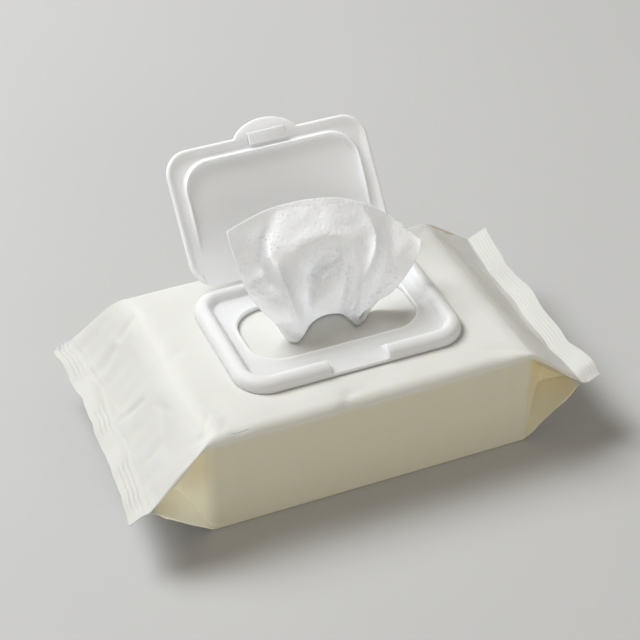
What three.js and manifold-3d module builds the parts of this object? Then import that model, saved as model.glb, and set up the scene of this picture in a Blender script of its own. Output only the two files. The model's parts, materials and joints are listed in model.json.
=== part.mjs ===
// A pack of wet wipes: a film pouch with two sealed ends, a moulded flip-top
// standing open on it, the stack of folded wipes inside, and the next wipe drawn up.
//
// Units are millimetres. +Z is up, +X runs along the pack and +Y points to the hinge side.
// The origin is on the underside, below the middle of the flip-top's frame.

import * as THREE from 'three';
import { LoftGeometry } from 'three/addons/geometries/LoftGeometry.js';
import { mergeVertices } from 'three/addons/utils/BufferGeometryUtils.js';
import Module from 'manifold-3d';

const wasm = await Module();
wasm.setup();

// ---------- driving dimensions ----------

const GAP = 0.3; // air kept between neighbouring pieces
const FILM = 0.5; // wall of the pouch
const SEAL = 1; // two pressed layers of film

const PACK = { left: -74, right: 71, halfWidth: 52.6, height: 50.2, edgeRadius: 3 };

// Each end tapers to a flat seal. The side film is tucked in between the top and the bottom
// panel, and foldX, foldY and foldZ place the point where that tuck starts.
const LEFT_END = {
  bodyX: PACK.left,
  foldX: -85,
  foldY: 44.5,
  foldZ: 22,
  sealX: -99.5,
  sealZ: 26.7,
  tipX: -109,
  tipZ: 24.4,
  halfWidth: 59.5,
  skew: 0.04,
};
const RIGHT_END = {
  bodyX: PACK.right,
  foldX: 83,
  foldY: 44.5,
  foldZ: 23,
  sealX: 96,
  sealZ: 29,
  tipX: 104.8,
  tipZ: 32.3,
  halfWidth: 56.5,
  skew: 0.01,
};
const TUCK_DEPTH = 15; // how far the side film reaches in between the panels at a seal
const TUCK_GAP = 0.4; // space between the two layers at the bottom of a tuck
const POCKET_WALL = 1.5; // length over which a tuck closes at the seal

const BACK_SEAM = { halfWidth: 6, grooveWidth: 0.6, grooveDepth: 0.3 };
const SLOT = { x: 5, y: 10.5, halfX: 21, halfY: 3.5 }; // opening cut in the top panel

const STACK = { halfX: 70.5, halfY: 50.5, low: FILM + GAP, high: 48.4, radius: 4, bevel: 1 };
const STACK_X = (PACK.left + PACK.right) / 2;

const FRAME = { halfX: 52, halfY: 35.8, radius: 14.5, foot: PACK.height + GAP };
const RIM = { side: 53.4, crest: 55.9, wall: 1.2 };
const LEDGE = { halfX: 44.9, halfY: 27.6, radius: 8.5, top: 52.2 };
const WINDOW = { halfX: 38.6, halfY: 18.6, radius: 14 };
const NOTCH = { halfX: 13.2, inner: -27.2, outer: -34.9 };

const HINGE = { y: 33.2, z: 56.6 };
const OPEN_ANGLE = THREE.MathUtils.degToRad(130);

// The lid is drawn closed, measured from the hinge axis: -Y runs to its front edge.
const LID = { halfX: 48.2, near: 2.7, far: 63.1, radius: 11, low: -0.5, high: 2 };
const LID_LIP = 2;
const LID_PANEL_LOW = 0.6;
const RIB = { halfX: 41.8, near: 18, far: 57.3, radius: 13, width: 0.9, low: -3.2 };
const LATCH = { x: 1.3, width: 17.6, near: 60.3, far: 62.9, low: -2.2 };
const TAB = { x: 0.5, halfX: 13.5, far: 68.6, low: 0, high: 1 };
const STRAP = { halfX: 24, near: 0.2, halfThick: 0.35 };

// The drawn wipe rises through the slot and leans forward above it. Its two edges are x, z points.
const WIPE = { thickness: 1.4, y: 2, fold: 5.5, arch: 20, leanStart: 0.12, leanEnd: 0.45 };
const WIPE_LEFT_EDGE = [[-13, 48.9], [-16, 53], [-29, 67], [-38, 86], [-43.5, 110.5]];
const WIPE_RIGHT_EDGE = [[14, 48.9], [17, 52], [29, 58], [40, 69], [44.5, 81.5]];

const CORNER_STEPS = 6;
const WIPE_ROWS = 12;
const WIPE_COLUMNS = 16;

// ---------- helpers ----------

// A closed geometry as a solid that can be joined and cut.
function solid(geometry) {
  const bare = new THREE.BufferGeometry();
  bare.setAttribute('position', geometry.getAttribute('position'));
  bare.setIndex(geometry.getIndex());
  const merged = mergeVertices(bare, 1e-4);
  return new wasm.Manifold(
    new wasm.Mesh({
      numProp: 3,
      vertProperties: merged.attributes.position.array,
      triVerts: new Uint32Array(merged.index.array),
    }),
  );
}

function geometryOf(body) {
  const mesh = body.getMesh();
  const geometry = new THREE.BufferGeometry();
  geometry.setAttribute('position', new THREE.BufferAttribute(mesh.vertProperties, 3));
  geometry.setIndex(new THREE.BufferAttribute(mesh.triVerts, 1));
  geometry.computeVertexNormals();
  return geometry;
}

function named(name, body, material) {
  const mesh = new THREE.Mesh(geometryOf(body), material);
  mesh.name = name;
  return mesh;
}

// A rectangle with round corners at one height, anticlockwise from above.
function roundedLoop({ halfX, halfY, radius, z, x = 0, y = 0 }) {
  const points = [];
  const corners = [[1, 1, 0], [-1, 1, 90], [-1, -1, 180], [1, -1, 270]];
  for (const [signX, signY, start] of corners) {
    for (let step = 0; step <= CORNER_STEPS; step++) {
      const angle = THREE.MathUtils.degToRad(start + (90 * step) / CORNER_STEPS);
      points.push(new THREE.Vector3(
        x + signX * (halfX - radius) + radius * Math.cos(angle),
        y + signY * (halfY - radius) + radius * Math.sin(angle),
        z,
      ));
    }
  }
  return points;
}

// A plate or block built up from round-cornered outlines, lowest first.
function roundedBlock(levels) {
  return solid(new LoftGeometry(levels.map(roundedLoop), { capStart: true, capEnd: true }));
}

// A ring whose profile runs up the outside and down the inside, closing on itself.
function roundedRing(profile) {
  const loops = [...profile, profile[0]].map(roundedLoop);
  return solid(new LoftGeometry(loops));
}

function box(low, high) {
  const size = high.map((value, axis) => value - low[axis]);
  const geometry = new THREE.BoxGeometry(...size);
  geometry.translate(...low.map((value, axis) => value + size[axis] / 2));
  return solid(geometry);
}

// ---------- film pouch ----------

// One section across the pouch. creases holds the points of the side film between the bottom
// and the top edge, which lie inboard of the edges where the side is tucked in.
function pouchSection({ x, half, low, high, creases, radius, skew = 0 }) {
  const corner = (centreZ, degrees) => {
    const angle = THREE.MathUtils.degToRad(degrees);
    return [half - radius + radius * Math.cos(angle), centreZ + radius * Math.sin(angle)];
  };
  const side = [
    [0, low],
    [half / 2, low],
    ...[-90, -45, 0].map((degrees) => corner(low + radius, degrees)),
    ...creases,
    ...[0, 45, 90].map((degrees) => corner(high - radius, degrees)),
    [half / 2, high],
    [0, high],
  ];
  const otherSide = side.slice(1, -1).reverse().map(([y, z]) => [-y, z]);
  return [...side, ...otherSide].map(([y, z]) => new THREE.Vector3(x + skew * y, y, z));
}

// The tapering panels of an end at one x: their height, and how wide they have spread.
function panelsAt(end, x) {
  const t = (x - end.bodyX) / (end.sealX - end.bodyX);
  return {
    low: THREE.MathUtils.lerp(0, end.sealZ - SEAL / 2, t),
    high: THREE.MathUtils.lerp(PACK.height, end.sealZ + SEAL / 2, t),
    half: THREE.MathUtils.lerp(PACK.halfWidth, end.halfWidth, t),
  };
}

// Sections of one end, from the tip of its seal to the point where the tuck starts.
function endSections(end) {
  const inward = -Math.sign(end.tipX);
  const thin = SEAL / 4;
  const flat = (x, z) => ({
    x,
    half: end.halfWidth,
    low: z - SEAL / 2,
    high: z + SEAL / 2,
    creases: [[end.halfWidth, z - thin / 2], [end.halfWidth, z + thin / 2]],
    radius: thin,
    skew: end.skew,
  });
  const tucked = (x, creaseY, creaseZ, skew) => ({
    x,
    ...panelsAt(end, x),
    creases: [[creaseY, creaseZ - TUCK_GAP / 2], [creaseY, creaseZ + TUCK_GAP / 2]],
    radius: thin,
    skew,
  });
  return [
    flat(end.tipX, end.tipZ),
    flat(end.sealX, end.sealZ),
    tucked(end.sealX + inward * POCKET_WALL, end.halfWidth - TUCK_DEPTH, end.sealZ, end.skew),
    tucked(end.foldX, end.foldY, end.foldZ, 0),
  ].map(pouchSection);
}

function plainSection(x, half, low, high, radius) {
  const creases = [[half, low + radius + 1], [half, high - radius - 1]];
  return pouchSection({ x, half, low, high, creases, radius });
}

function pouchOutside() {
  const radius = PACK.edgeRadius;
  const drop = 0.5 * radius;
  const bodySections = [
    plainSection(PACK.left, PACK.halfWidth, drop / 2, PACK.height - drop, radius),
    plainSection(PACK.left + radius, PACK.halfWidth, 0, PACK.height, radius),
    plainSection(PACK.right - radius, PACK.halfWidth, 0, PACK.height, radius),
    plainSection(PACK.right, PACK.halfWidth, drop / 2, PACK.height - drop, radius),
  ];
  const sections = [
    ...endSections(LEFT_END),
    ...bodySections,
    ...endSections(RIGHT_END).reverse(),
  ];
  return solid(new LoftGeometry(sections, { capStart: true, capEnd: true }));
}

// The space inside the film, ending short of each tuck.
function pouchInside() {
  const radius = PACK.edgeRadius - FILM;
  const clear = 4 * FILM;
  const endSection = (end, x) => {
    const { low, high } = panelsAt(end, x);
    return plainSection(x, end.foldY - clear, low + clear, high - clear, FILM);
  };
  const bodySection = (x) =>
    plainSection(x, PACK.halfWidth - FILM, FILM, PACK.height - FILM, radius);
  const short = 7;
  return solid(new LoftGeometry([
    endSection(LEFT_END, LEFT_END.sealX + short),
    endSection(LEFT_END, LEFT_END.foldX),
    bodySection(PACK.left + radius),
    bodySection(PACK.right - radius),
    endSection(RIGHT_END, RIGHT_END.foldX),
    endSection(RIGHT_END, RIGHT_END.sealX - short),
  ], { capStart: true, capEnd: true }));
}

function slotCutter() {
  const outline = { ...SLOT, radius: SLOT.halfY - 0.01 };
  return roundedBlock([
    { ...outline, z: PACK.height - 2 },
    { ...outline, z: PACK.height + 2 },
  ]);
}

// The fin seal of the pouch lies folded flat in the underside, between two fine grooves.
function backSeamGrooves() {
  const groove = (y) => box(
    [PACK.left + 4, y - BACK_SEAM.grooveWidth / 2, -1],
    [PACK.right - 4, y + BACK_SEAM.grooveWidth / 2, BACK_SEAM.grooveDepth],
  );
  return groove(BACK_SEAM.halfWidth).add(groove(-BACK_SEAM.halfWidth));
}

function filmPouch() {
  return pouchOutside()
    .subtract(pouchInside())
    .subtract(slotCutter())
    .subtract(backSeamGrooves());
}

// ---------- wipes ----------

function wipeStack() {
  const level = (z, inset) => ({
    halfX: STACK.halfX - inset,
    halfY: STACK.halfY - inset,
    radius: STACK.radius,
    x: STACK_X,
    z,
  });
  return roundedBlock([
    level(STACK.low, STACK.bevel),
    level(STACK.low + STACK.bevel, 0),
    level(STACK.high - STACK.bevel, 0),
    level(STACK.high, STACK.bevel),
  ]);
}

// One level of the drawn wipe: a folded band, front face first and then its back face.
function wipeSection(leftEdge, rightEdge, h) {
  const left = leftEdge.getPoint(h);
  const right = rightEdge.getPoint(h);
  const lean = THREE.MathUtils.smoothstep(h, WIPE.leanStart, WIPE.leanEnd);
  const middleY = THREE.MathUtils.lerp(SLOT.y, WIPE.y, lean);
  const point = (t, offset) => {
    const x = THREE.MathUtils.lerp(left.x, right.x, t);
    const arch = WIPE.arch * h * 4 * t * (1 - t);
    const z = THREE.MathUtils.lerp(left.y, right.y, t) + arch;
    const fold = WIPE.fold * Math.sin(Math.PI * h) * Math.sin(3 * Math.PI * t);
    return new THREE.Vector3(x, middleY + fold + offset, z);
  };
  const section = [];
  for (let i = 0; i <= WIPE_COLUMNS; i++) {
    section.push(point(i / WIPE_COLUMNS, -WIPE.thickness / 2));
  }
  for (let i = WIPE_COLUMNS; i >= 0; i--) {
    section.push(point(i / WIPE_COLUMNS, WIPE.thickness / 2));
  }
  return section;
}

function drawnWipe() {
  const edge = (points) => new THREE.SplineCurve(points.map(([x, z]) => new THREE.Vector2(x, z)));
  const leftEdge = edge(WIPE_LEFT_EDGE);
  const rightEdge = edge(WIPE_RIGHT_EDGE);
  const sections = [];
  for (let row = 0; row <= WIPE_ROWS; row++) {
    sections.push(wipeSection(leftEdge, rightEdge, row / WIPE_ROWS));
  }
  return solid(new LoftGeometry(sections, { capStart: true, capEnd: true }));
}

// ---------- flip-top ----------

// The frame: a fat hollow rim round a flat ledge, with the window in the middle.
function frameRing() {
  const outer = (inset, z) => ({
    halfX: FRAME.halfX - inset,
    halfY: FRAME.halfY - inset,
    radius: FRAME.radius - inset,
    z,
  });
  return roundedRing([
    outer(0, FRAME.foot),
    outer(0, RIM.side),
    outer(0.6, RIM.side + 1.6),
    outer(2, RIM.crest),
    outer(4, RIM.crest - 0.3),
    outer(6.2, LEDGE.top + 2.4),
    { ...LEDGE, z: LEDGE.top },
    { ...WINDOW, z: LEDGE.top },
    { ...WINDOW, z: FRAME.foot },
    outer(6.6, FRAME.foot),
    outer(5.4, RIM.side - 0.4),
    outer(3.8, RIM.crest - RIM.wall - 0.3),
    outer(2, RIM.crest - RIM.wall),
    outer(RIM.wall, RIM.side),
    outer(RIM.wall, FRAME.foot),
  ]);
}

function lidBase() {
  const notch = box([-NOTCH.halfX, -FRAME.halfY - 1, LEDGE.top], [NOTCH.halfX, NOTCH.inner, RIM.crest + 1]);
  const notchFloor = box(
    [-NOTCH.halfX - RIM.wall, NOTCH.outer, FRAME.foot],
    [NOTCH.halfX + RIM.wall, NOTCH.inner, LEDGE.top],
  );
  return frameRing().add(notchFloor).subtract(notch);
}

function lidPanel() {
  const centreY = -(LID.near + LID.far) / 2;
  const halfY = (LID.far - LID.near) / 2;
  const level = (inset, z) => ({
    halfX: LID.halfX - inset,
    halfY: halfY - inset,
    radius: LID.radius - inset,
    y: centreY,
    z,
  });
  const slab = roundedBlock([
    level(0.5, LID.low),
    level(0, LID.low + 0.6),
    level(0, LID.high - 1),
    level(0.5, LID.high - 0.3),
    level(1.4, LID.high),
  ]);
  const hollow = roundedBlock([level(LID_LIP, LID.low - 1), level(LID_LIP, LID_PANEL_LOW)]);
  return slab.subtract(hollow);
}

// The thin wall round the inner face, open towards the hinge.
function lidRib() {
  const nearEnd = 8;
  const level = (inset, z) => ({
    halfX: RIB.halfX - inset,
    halfY: (RIB.far - nearEnd) / 2 - inset,
    radius: RIB.radius - inset,
    y: -(RIB.far + nearEnd) / 2,
    z,
  });
  const top = LID_PANEL_LOW + 0.2;
  const ring = roundedBlock([level(0, RIB.low), level(0, top)])
    .subtract(roundedBlock([level(RIB.width, RIB.low - 1), level(RIB.width, top + 1)]));
  return ring.subtract(box([-LID.halfX, -RIB.near, RIB.low - 1], [LID.halfX, 0, top + 1]));
}

function thumbTab() {
  const outline = new THREE.Shape();
  const root = LID.far - 1.5;
  outline.absellipse(TAB.x, -root, TAB.halfX, TAB.far - root, Math.PI, 2 * Math.PI, false);
  outline.closePath();
  const geometry = new THREE.ExtrudeGeometry(outline, {
    depth: TAB.high - TAB.low,
    bevelEnabled: false,
    curveSegments: 20,
  });
  geometry.translate(0, 0, TAB.low);
  return solid(geometry);
}

function lid() {
  const latch = box(
    [LATCH.x - LATCH.width / 2, -LATCH.far, LATCH.low],
    [LATCH.x + LATCH.width / 2, -LATCH.near, LID_PANEL_LOW + 0.2],
  );
  const strap = box(
    [-STRAP.halfX, -LID.near - LID_LIP / 2, -STRAP.halfThick],
    [STRAP.halfX, -STRAP.near, STRAP.halfThick],
  );
  return lidPanel().add(lidRib()).add(latch).add(thumbTab()).add(strap);
}

// ---------- assembly ----------

const filmMaterial = new THREE.MeshStandardMaterial({ color: 0xe9e7dc, roughness: 0.38, metalness: 0 });
const wipeMaterial = new THREE.MeshStandardMaterial({ color: 0xf1f2f4, roughness: 0.85, metalness: 0 });
const frameMaterial = new THREE.MeshStandardMaterial({ color: 0xf3f3f2, roughness: 0.42, metalness: 0 });
const lidMaterial = new THREE.MeshStandardMaterial({ color: 0xdcdcda, roughness: 0.48, metalness: 0 });

const lidPivot = new THREE.Group();
lidPivot.position.set(0, HINGE.y, HINGE.z);
lidPivot.rotation.x = -OPEN_ANGLE;
lidPivot.add(named('lid', lid(), lidMaterial));

const pack = new THREE.Group();
pack.add(
  named('film_pouch', filmPouch(), filmMaterial),
  named('wipe_stack', wipeStack(), wipeMaterial),
  named('drawn_wipe', drawnWipe(), wipeMaterial),
  named('lid_base', lidBase(), frameMaterial),
  lidPivot,
);

export default pack;
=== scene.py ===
"""A pack of wet wipes with its flip-top open and one wipe drawn up, as a Blender add-on.

Lengths in the code are millimetres until a mesh is finished, and metres in the file.
"""

import json
import math

import bmesh
import bpy
import numpy as np
from mathutils import Matrix, Vector, noise


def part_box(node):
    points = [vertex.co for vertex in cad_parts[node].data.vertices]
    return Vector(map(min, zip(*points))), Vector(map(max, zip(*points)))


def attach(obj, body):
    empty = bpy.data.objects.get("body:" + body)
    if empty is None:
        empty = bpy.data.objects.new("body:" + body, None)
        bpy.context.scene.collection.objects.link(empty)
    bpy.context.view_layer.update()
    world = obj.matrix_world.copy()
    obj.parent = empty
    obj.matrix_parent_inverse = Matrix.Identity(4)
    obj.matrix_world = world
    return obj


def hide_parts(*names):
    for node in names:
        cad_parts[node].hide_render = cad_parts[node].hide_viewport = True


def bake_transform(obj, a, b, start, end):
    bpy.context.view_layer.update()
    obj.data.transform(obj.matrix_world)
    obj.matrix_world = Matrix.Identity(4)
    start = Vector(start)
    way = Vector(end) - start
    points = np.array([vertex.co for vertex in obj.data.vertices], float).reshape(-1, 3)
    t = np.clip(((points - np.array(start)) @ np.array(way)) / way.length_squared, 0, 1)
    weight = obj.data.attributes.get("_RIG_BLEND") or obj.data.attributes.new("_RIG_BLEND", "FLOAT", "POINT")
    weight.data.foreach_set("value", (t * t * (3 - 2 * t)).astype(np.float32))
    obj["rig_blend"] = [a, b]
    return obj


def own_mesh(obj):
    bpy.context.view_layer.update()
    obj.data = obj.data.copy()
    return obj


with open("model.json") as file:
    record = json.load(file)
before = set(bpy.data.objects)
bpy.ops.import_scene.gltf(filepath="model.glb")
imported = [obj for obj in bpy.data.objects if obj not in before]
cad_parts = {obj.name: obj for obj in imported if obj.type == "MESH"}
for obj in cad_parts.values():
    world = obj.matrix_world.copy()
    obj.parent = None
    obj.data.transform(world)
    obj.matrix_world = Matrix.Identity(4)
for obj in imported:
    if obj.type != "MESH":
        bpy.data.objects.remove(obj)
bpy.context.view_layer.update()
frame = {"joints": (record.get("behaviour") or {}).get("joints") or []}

bl_info = {
    "name": "Wet Wipes Pack",
    "version": (1, 0, 0),
    "blender": (4, 5, 0),
    "location": "3D View > Sidebar > Wipes",
    "description": "Builds a film pack of wet wipes with an open flip-top and a drawn wipe",
    "category": "Add Mesh",
}

MM = 0.001
SHARP_ANGLE = math.radians(50)  # a steeper bend than this shades as a hard edge


def node_box(name):
    """The lowest and highest corner of a CAD node, in millimetres."""
    return tuple(Vector(corner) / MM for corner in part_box(name))


# ---------- sizes that the pieces share, in millimetres ----------

FILM_LOW, FILM_HIGH = node_box("film_pouch")
FRAME_LOW, FRAME_HIGH = node_box("lid_base")
STACK_LOW, STACK_HIGH = node_box("wipe_stack")
HINGE = Vector(frame["joints"][0]["pos_m"]) / MM
OPEN_ANGLE = math.radians(130)

FILM_TOP = FILM_HIGH.z
BODY_LEFT, BODY_RIGHT, BODY_HALF = -74.0, 71.0, 52.6
SLOT_X, SLOT_Y, SLOT_HALF_X, SLOT_HALF_Y = 5.0, 10.5, 21.0, 3.5


# ---------- small helpers ----------


def blur(rows, passes):
    """Smooths a grid along its first axis and keeps its two ends."""
    for _ in range(passes):
        middle = (rows[:-2] + 2 * rows[1:-1] + rows[2:]) / 4
        rows = np.concatenate([rows[:1], middle, rows[-1:]])
    return rows


def ramp(value, start, end):
    """0 before start, 1 after end, and a smooth step between them."""
    t = np.clip((value - start) / (end - start), 0, 1)
    return t * t * (3 - 2 * t)


def bump(value, centre, width):
    """A smooth hill of height 1."""
    return np.exp(-(((value - centre) / width) ** 2))


def waves(points, scale, seed):
    """Smooth noise from -1 to 1 at each point, with lumps about scale wide."""
    shift = Vector((seed * 17.3, seed * 5.1, seed * 9.7))
    return np.array([noise.noise(Vector(p) / scale + shift) for p in points])


def finished(name, bm, material, body):
    """Makes the piece from a bmesh in millimetres, gives it its finish and lets it ride."""
    for edge in bm.edges:
        edge.smooth = len(edge.link_faces) != 2 or edge.calc_face_angle() < SHARP_ANGLE
    bmesh.ops.scale(bm, vec=(MM, MM, MM), verts=bm.verts)
    mesh = bpy.data.meshes.new(name)
    bm.to_mesh(mesh)
    bm.free()
    for polygon in mesh.polygons:
        polygon.use_smooth = True
    mesh.materials.append(material)
    piece = bpy.data.objects.new(name, mesh)
    bpy.context.scene.collection.objects.link(piece)
    if body:
        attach(piece, body)
    return piece


def sheet_grid(columns, rows, *layers):
    """A flat grid and its vertices in order, row by row, with any named layers of numbers."""
    bm = bmesh.new()
    for layer in layers:
        bm.verts.layers.float.new(layer)
    bmesh.ops.create_grid(bm, x_segments=columns - 1, y_segments=rows - 1, size=1)
    order = sorted(bm.verts, key=lambda v: (round(v.co.y, 6), round(v.co.x, 6)))
    return bm, order


def place(vertices, points):
    for vertex, point in zip(vertices, points):
        vertex.co = point


# ---------- materials ----------


class Finish:
    """A node material with a Principled shader, and the few nodes that the finishes use."""

    def __init__(self, name, color, roughness):
        self.material = bpy.data.materials.new(name)
        self.material.use_nodes = True
        self.nodes = self.material.node_tree.nodes
        self.links = self.material.node_tree.links
        self.shader = self.nodes["Principled BSDF"]
        self.shader.inputs["Base Color"].default_value = (*color, 1)
        self.shader.inputs["Roughness"].default_value = roughness
        self.place = self.nodes.new("ShaderNodeTexCoord").outputs["Object"]

    def set(self, **values):
        for name, value in values.items():
            self.shader.inputs[name.replace("_", " ")].default_value = value
        return self

    def stretched(self, scale):
        mapping = self.nodes.new("ShaderNodeMapping")
        mapping.inputs["Scale"].default_value = scale
        self.links.new(self.place, mapping.inputs["Vector"])
        return mapping.outputs["Vector"]

    def noise(self, scale, detail=3.0, vector=None):
        node = self.nodes.new("ShaderNodeTexNoise")
        node.inputs["Scale"].default_value = scale
        node.inputs["Detail"].default_value = detail
        self.links.new(vector or self.place, node.inputs["Vector"])
        return node.outputs["Fac"]

    def cells(self, scale, vector=None):
        node = self.nodes.new("ShaderNodeTexVoronoi")
        node.inputs["Scale"].default_value = scale
        self.links.new(vector or self.place, node.inputs["Vector"])
        return node.outputs["Distance"]

    def steps(self, value, low, high, to_low=0.0, to_high=1.0):
        node = self.nodes.new("ShaderNodeMapRange")
        node.interpolation_type = "SMOOTHSTEP"
        for name, number in zip(("From Min", "From Max", "To Min", "To Max"), (low, high, to_low, to_high)):
            node.inputs[name].default_value = number
        self.links.new(value, node.inputs["Value"])
        return node.outputs["Result"]

    def multiply(self, first, second):
        node = self.nodes.new("ShaderNodeMath")
        node.operation = "MULTIPLY"
        self.links.new(first, node.inputs[0])
        self.links.new(second, node.inputs[1])
        return node.outputs["Value"]

    def mixed(self, value, low, high):
        """A colour between two others, each a tuple or a socket."""
        node = self.nodes.new("ShaderNodeMix")
        node.data_type = "RGBA"
        for name, colour in (("A", low), ("B", high)):
            if isinstance(colour, tuple):
                node.inputs[name].default_value = (*colour, 1)
            else:
                self.links.new(colour, node.inputs[name])
        self.links.new(value, node.inputs["Factor"])
        return node.outputs["Result"]

    def tint(self, value, low, high):
        self.links.new(self.mixed(value, low, high), self.shader.inputs["Base Color"])

    def rough(self, value, low, high):
        self.links.new(self.steps(value, 0.3, 0.7, low, high), self.shader.inputs["Roughness"])

    def relief(self, value, height, strength=1.0):
        """Adds a bump of that height, in metres, over the ones added before."""
        node = self.nodes.new("ShaderNodeBump")
        node.inputs["Distance"].default_value = height
        node.inputs["Strength"].default_value = strength
        self.links.new(value, node.inputs["Height"])
        before = self.shader.inputs["Normal"].links
        if before:
            self.links.new(before[0].from_socket, node.inputs["Normal"])
        self.links.new(node.outputs["Normal"], self.shader.inputs["Normal"])


def film_finish(colour):
    """Cream laminate film: satin, with faint clouding, painted shade at its ends, where no wipes lie behind
    it, painted shade on its sides and painted light in its tucks.
    """

    def shaded(shares):
        return tuple(c * share for c, share in zip(colour, shares))

    finish = Finish("film", colour, 0.45)
    finish.set(Subsurface_Weight=0.5, Subsurface_Scale=0.00008, Specular_IOR_Level=0.2)
    finish.shader.inputs["Subsurface Radius"].default_value = (1.0, 0.8, 0.45)
    cloud = finish.steps(finish.noise(22, 4), 0.3, 0.7, 0.8, 1.0)
    parts = finish.nodes.new("ShaderNodeSeparateXYZ")
    finish.links.new(finish.place, parts.inputs["Vector"])
    # Painted shade: away from its sides the film is painted darker at its left end and at its right seal,
    # broken up by the random clouding.
    left = finish.steps(parts.outputs["X"], -0.083, -0.070)
    right = finish.steps(parts.outputs["X"], 0.091, 0.096, 1.0, 0.0)
    cloud_and_painted_end_shade = finish.multiply(finish.multiply(left, right), cloud)
    upper = finish.mixed(cloud_and_painted_end_shade, shaded((0.88, 0.88, 0.88)), colour)
    # The tucks are single film. Painted light: both are painted as lit through the film, the left one
    # lighter than the film's own colour and the right one warmer, and warmest below the top.
    height = finish.steps(parts.outputs["Z"], 0.014, 0.036)
    left_tuck_painted_light = finish.mixed(height, shaded((1.30, 1.26, 1.08)), shaded((1.10, 1.01, 0.76)))
    right_tuck_painted_light = finish.mixed(height, shaded((1.0, 0.94, 0.74)), shaded((1.02, 0.88, 0.55)))
    tuck = finish.mixed(finish.steps(parts.outputs["X"], -0.01, 0.01), left_tuck_painted_light, right_tuck_painted_light)
    # Painted shade: between the tucks the film's sides are painted darker and warmer than its top.
    middle = finish.multiply(
        finish.steps(parts.outputs["X"], -0.078, -0.070),
        finish.steps(parts.outputs["X"], 0.071, 0.074, 1.0, 0.0),
    )
    side = finish.mixed(middle, tuck, shaded((0.90, 0.86, 0.70)))
    flank = finish.nodes.new("ShaderNodeAttribute")
    flank.attribute_name = "flank"
    finish.tint(flank.outputs["Fac"], upper, side)
    finish.rough(finish.noise(60, 3), 0.46, 0.6)
    finish.relief(finish.noise(45, 2), 0.0006, 0.5)
    finish.relief(finish.noise(900, 3), 0.00002)
    return finish.material


def moulded_finish(name, colour, roughness, depth):
    """White polypropylene: a faint orange peel over a body that light goes into, to that depth."""
    finish = Finish(name, colour, roughness)
    finish.set(Subsurface_Weight=1.0, Subsurface_Scale=depth, Specular_IOR_Level=0.3)
    finish.shader.inputs["Subsurface Radius"].default_value = (1.0, 0.98, 0.96)
    finish.tint(finish.noise(30, 2), tuple(c * 0.98 for c in colour), colour)
    finish.rough(finish.noise(140, 3), roughness - 0.05, roughness + 0.07)
    finish.relief(finish.noise(700, 2), 0.000015)
    return finish.material


def wipe_finish(colour):
    """Damp nonwoven: matted fibres, a press pattern of small pits, and wet patches."""
    finish = Finish("wipe", colour, 0.7)
    finish.set(Subsurface_Weight=1.0, Subsurface_Scale=0.002, Sheen_Weight=0.45, Sheen_Roughness=0.6)
    finish.set(Coat_Weight=0.2, Coat_Roughness=0.18)
    finish.shader.inputs["Subsurface Radius"].default_value = (0.9, 0.95, 1.0)
    wet = finish.steps(finish.noise(45, 2), 0.45, 0.6)
    finish.tint(wet, colour, tuple(c * 0.99 for c in colour))
    finish.links.new(finish.steps(wet, 0, 1, 0.78, 0.42), finish.shader.inputs["Roughness"])
    fibres = finish.noise(700, 6, finish.stretched((1.0, 1.0, 0.5)))
    finish.relief(fibres, 0.0002)
    pits = finish.steps(finish.cells(430), 0.15, 0.5)
    finish.relief(pits, 0.00012)
    drops = finish.steps(finish.cells(620), 0.34, 0.10)
    finish.relief(finish.multiply(drops, wet), 0.0004)
    return finish.material


# ---------- film pouch ----------

# The film's sections: x, half width, lowest and highest level, how far the bottom of the tuck is
# from the middle, the lower and the upper level of that bottom, and the radius of the top edges.
# From the body to the point where the tuck is deepest, its bottom is an upright triangle.
SEAL_LEFT, SEAL_RIGHT = FILM_LOW.x + 2.4, FILM_HIGH.x - 0.6
FILM_SECTIONS = (
    (SEAL_LEFT, 59.5, 24.1, 24.6, 59.3, 24.3, 24.4, 0.2),
    (SEAL_LEFT + 9.3, 59.5, 26.45, 26.95, 59.3, 26.65, 26.75, 0.2),
    (SEAL_LEFT + 11.3, 59.0, 25.2, 28.9, 46, 26.2, 27.6, 0.3),
    (-86, 55.7, 12.2, 39.6, 43.5, 21.6, 30.5, 0.5),
    (-79, 54.0, 5.2, FILM_TOP - 4.7, 49.0, 11.0, 40.5, 0.8),
    (BODY_LEFT - 1.3, 52.8, 1.2, FILM_TOP - 2.1, 51.7, 3.4, FILM_TOP - 7, 1.5),
    (BODY_LEFT, BODY_HALF, 0.2, FILM_TOP - 1.4, BODY_HALF, 1.6, FILM_TOP - 6, 2.6),
    (BODY_LEFT + 2.3, BODY_HALF, 0, FILM_TOP - 0.5, BODY_HALF, 1.6, FILM_TOP - 6, 3.6),
    (BODY_LEFT + 6, BODY_HALF, 0, FILM_TOP, BODY_HALF, 1.6, FILM_TOP - 6, 4.4),
    (BODY_RIGHT - 14, BODY_HALF, 0, FILM_TOP, BODY_HALF, 1.6, FILM_TOP - 6, 4.4),
    (BODY_RIGHT - 4, BODY_HALF, 0, FILM_TOP - 0.2, BODY_HALF, 1.6, FILM_TOP - 5, 2.2),
    (BODY_RIGHT, BODY_HALF, 0.2, FILM_TOP - 1.1, BODY_HALF, 1.6, FILM_TOP - 4, 0.9),
    (BODY_RIGHT + 1.3, 52.8, 1.3, FILM_TOP - 2.2, 51.3, 3.6, FILM_TOP - 5.6, 0.9),
    (77, 53.4, 6.4, 45.1, 46.5, 12.0, 39.0, 0.5),
    (83, 54.4, 13.2, 40.3, 41.0, 22.0, 32.0, 0.4),
    (89, 55.4, 20.0, 35.1, 45, 25.4, 29.5, 0.3),
    (SEAL_RIGHT - 11.2, 56.2, 26.3, 30.4, 49, 28.2, 28.6, 0.3),
    (SEAL_RIGHT - 9.2, 56.5, 28.7, 29.2, 56.3, 28.9, 29.0, 0.2),
    (SEAL_RIGHT, 56.5, 32.1, 32.6, 56.3, 32.3, 32.4, 0.2),
)

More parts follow.
